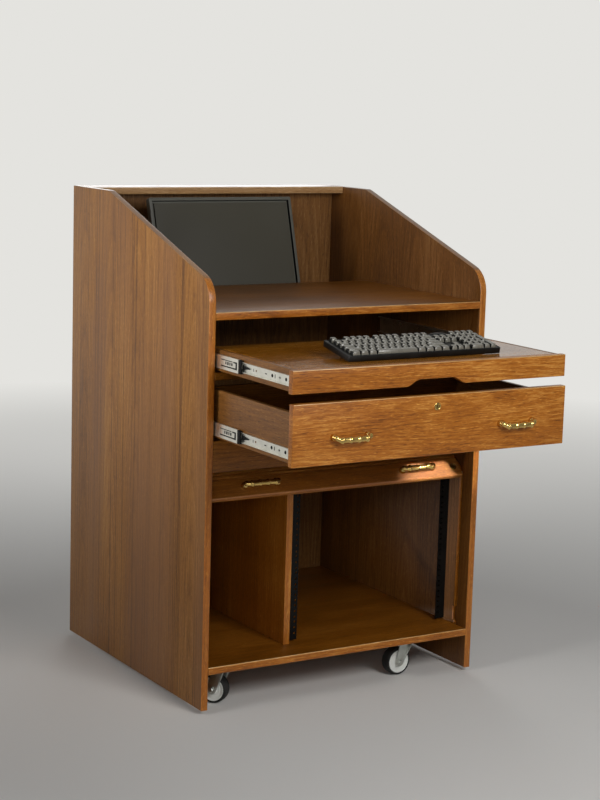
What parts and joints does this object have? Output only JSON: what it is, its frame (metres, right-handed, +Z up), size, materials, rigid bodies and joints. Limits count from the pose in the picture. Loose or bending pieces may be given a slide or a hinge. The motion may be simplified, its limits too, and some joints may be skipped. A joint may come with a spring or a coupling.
{
  "type": "multimedia lectern",
  "caption": "Oak-veneered multimedia lectern on swivel casters with a recessed monitor, a keyboard tray and a drawer on ball-bearing slides, and a tambour door over a rack bay.",
  "frame": {"origin": "on the floor, under the middle of the rest pose's box, which has the tray and the drawer pulled out", "axes": "+X to the presenter's right, -Y towards the presenter, +Z up"},
  "size_m": [0.84, 1.1914, 1.2856],
  "materials": {
    "oak_veneer": "satin lacquer over straight-grained veneer",
    "oak_solid": "satin lacquer",
    "polished_brass": "polished",
    "zinc_plate": "bright zinc plate",
    "black_powder_coat": "satin black",
    "black_plastic": "fine texture",
    "screen_film": "anti-glare film",
    "grey_wheel": "grey moulded wheel with a dark tread"
  },
  "bodies": {
    "cabinet": {"left_side_panel": "oak_veneer", "right_side_panel": "oak_veneer", "top_cap": "oak_veneer", "back_panel": "oak_veneer", "desktop": "oak_veneer", "tray_rail": "oak_veneer", "apron_rail": "oak_veneer", "bottom_shelf": "oak_veneer", "bay_divider": "oak_veneer", "bay_top": "oak_veneer", "rack_rail_left": "black_powder_coat", "rack_rail_right": "black_powder_coat", "monitor_arm": "black_powder_coat", "tray_slide_outer_left": "zinc_plate", "tray_slide_outer_right": "zinc_plate", "drawer_slide_outer_left": "zinc_plate", "drawer_slide_outer_right": "zinc_plate", "door_curtain": "oak_solid", "caster_plate_front_left": "zinc_plate", "caster_plate_front_right": "zinc_plate", "caster_plate_rear_left": "zinc_plate", "caster_plate_rear_right": "zinc_plate"},
    "monitor": {"monitor_bracket": "black_powder_coat", "monitor_case": "black_plastic", "monitor_screen": "screen_film"},
    "keyboard_tray": {"tray_top": "oak_veneer", "tray_front": "oak_veneer", "tray_side_left": "oak_veneer", "tray_side_right": "oak_veneer", "tray_slide_inner_left": "zinc_plate", "tray_slide_inner_right": "zinc_plate", "keyboard_case": "black_plastic", "keyboard_keys": "black_plastic"},
    "tray_slide_middles": {"tray_slide_middle_left": "zinc_plate", "tray_slide_middle_right": "zinc_plate"},
    "drawer": {"drawer_front": "oak_veneer", "drawer_side_left": "oak_veneer", "drawer_side_right": "oak_veneer", "drawer_back": "oak_veneer", "drawer_bottom": "oak_veneer", "drawer_slide_inner_left": "zinc_plate", "drawer_slide_inner_right": "zinc_plate", "drawer_pull_left": "polished_brass", "drawer_pull_right": "polished_brass"},
    "drawer_slide_middles": {"drawer_slide_middle_left": "zinc_plate", "drawer_slide_middle_right": "zinc_plate"},
    "drawer_lock": {"drawer_lock": "polished_brass"},
    "door_carriage": {"door_guide_rod": "zinc_plate"},
    "door_bar": {"door_lead_bar": "oak_solid", "door_pull_left": "polished_brass", "door_pull_right": "polished_brass"},
    "door_lock": {"door_lock": "polished_brass"},
    "caster_swivel_front_left": {"caster_fork_front_left": "zinc_plate"},
    "caster_wheel_front_left": {"caster_wheel_front_left": "grey_wheel"},
    "caster_swivel_front_right": {"caster_fork_front_right": "zinc_plate"},
    "caster_wheel_front_right": {"caster_wheel_front_right": "grey_wheel"},
    "caster_swivel_rear_left": {"caster_fork_rear_left": "zinc_plate"},
    "caster_wheel_rear_left": {"caster_wheel_rear_left": "grey_wheel"},
    "caster_swivel_rear_right": {"caster_fork_rear_right": "zinc_plate"},
    "caster_wheel_rear_right": {"caster_wheel_rear_right": "grey_wheel"}
  },
  "joints": [
    {"name": "tray_slide", "type": "slide", "parent": "cabinet", "child": "keyboard_tray", "axis": [0, -1, 0], "range_m": [-0.3663, 0.04]},
    {"name": "tray_middle_slide", "type": "slide", "parent": "cabinet", "child": "tray_slide_middles", "axis": [0, -1, 0], "range_m": [-0.18365, 0.0205]},
    {"name": "drawer_slide", "type": "slide", "parent": "cabinet", "child": "drawer", "axis": [0, -1, 0], "range_m": [-0.3721, 0.04]},
    {"name": "drawer_middle_slide", "type": "slide", "parent": "cabinet", "child": "drawer_slide_middles", "axis": [0, -1, 0], "range_m": [-0.18655, 0.0205]},
    {"name": "drawer_lock_turn", "type": "hinge", "parent": "drawer", "child": "drawer_lock", "pos_m": [0.006, -0.56955, 0.8262], "axis": [0, -1, 0], "range_deg": [0, 90]},
    {"name": "door_slide", "type": "slide", "parent": "cabinet", "child": "door_carriage", "axis": [0, 0, 1], "range_m": [-0.41559, 0], "deforming": ["door_curtain"]},
    {"name": "door_tilt", "type": "hinge", "parent": "door_carriage", "child": "door_bar", "pos_m": [0, -0.14627, 0.54889], "axis": [1, 0, 0], "range_deg": [0, 45.05]},
    {"name": "door_lock_turn", "type": "hinge", "parent": "door_bar", "child": "door_lock", "pos_m": [0.3795, -0.13708, 0.56586], "axis": [0, -0.7071, 0.7071], "range_deg": [0, 45]},
    {"name": "monitor_tilt", "type": "hinge", "parent": "cabinet", "child": "monitor", "pos_m": [-0.0416, 0.45919, 1.09874], "axis": [1, 0, 0], "range_deg": [-2, 10]},
    {"name": "caster_swivel_front_left", "type": "hinge", "parent": "cabinet", "child": "caster_swivel_front_left", "pos_m": [-0.3253, -0.12995, 0], "axis": [0, 0, 1], "continuous": true},
    {"name": "caster_spin_front_left", "type": "hinge", "parent": "caster_swivel_front_left", "child": "caster_wheel_front_left", "pos_m": [-0.33601, -0.11548, 0.038], "axis": [-0.8039, -0.5948, 0], "continuous": true},
    {"name": "caster_swivel_front_right", "type": "hinge", "parent": "cabinet", "child": "caster_swivel_front_right", "pos_m": [0.24, -0.12575, 0], "axis": [0, 0, 1], "continuous": true},
    {"name": "caster_spin_front_right", "type": "hinge", "parent": "caster_swivel_front_right", "child": "caster_wheel_front_right", "pos_m": [0.22201, -0.12622, 0.038], "axis": [0.0262, -0.9997, 0], "continuous": true},
    {"name": "caster_swivel_rear_left", "type": "hinge", "parent": "cabinet", "child": "caster_swivel_rear_left", "pos_m": [-0.3217, 0.49055, 0], "axis": [0, 0, 1], "continuous": true},
    {"name": "caster_spin_rear_left", "type": "hinge", "parent": "caster_swivel_rear_left", "child": "caster_wheel_rear_left", "pos_m": [-0.31554, 0.50746, 0.038], "axis": [-0.9397, 0.342, 0], "continuous": true},
    {"name": "caster_swivel_rear_right", "type": "hinge", "parent": "cabinet", "child": "caster_swivel_rear_right", "pos_m": [0.3217, 0.49055, 0], "axis": [0, 0, 1], "continuous": true},
    {"name": "caster_spin_rear_right", "type": "hinge", "parent": "caster_swivel_rear_right", "child": "caster_wheel_rear_right", "pos_m": [0.31554, 0.50746, 0.038], "axis": [-0.9397, -0.342, 0], "continuous": true}
  ],
  "couplings": [
    {"joint": "tray_middle_slide", "follows": "tray_slide", "ratio": 0.5},
    {"joint": "drawer_middle_slide", "follows": "drawer_slide", "ratio": 0.5},
    {"joint": "door_tilt", "follows": "door_slide", "rad_per_m": -1.8898}
  ]
}
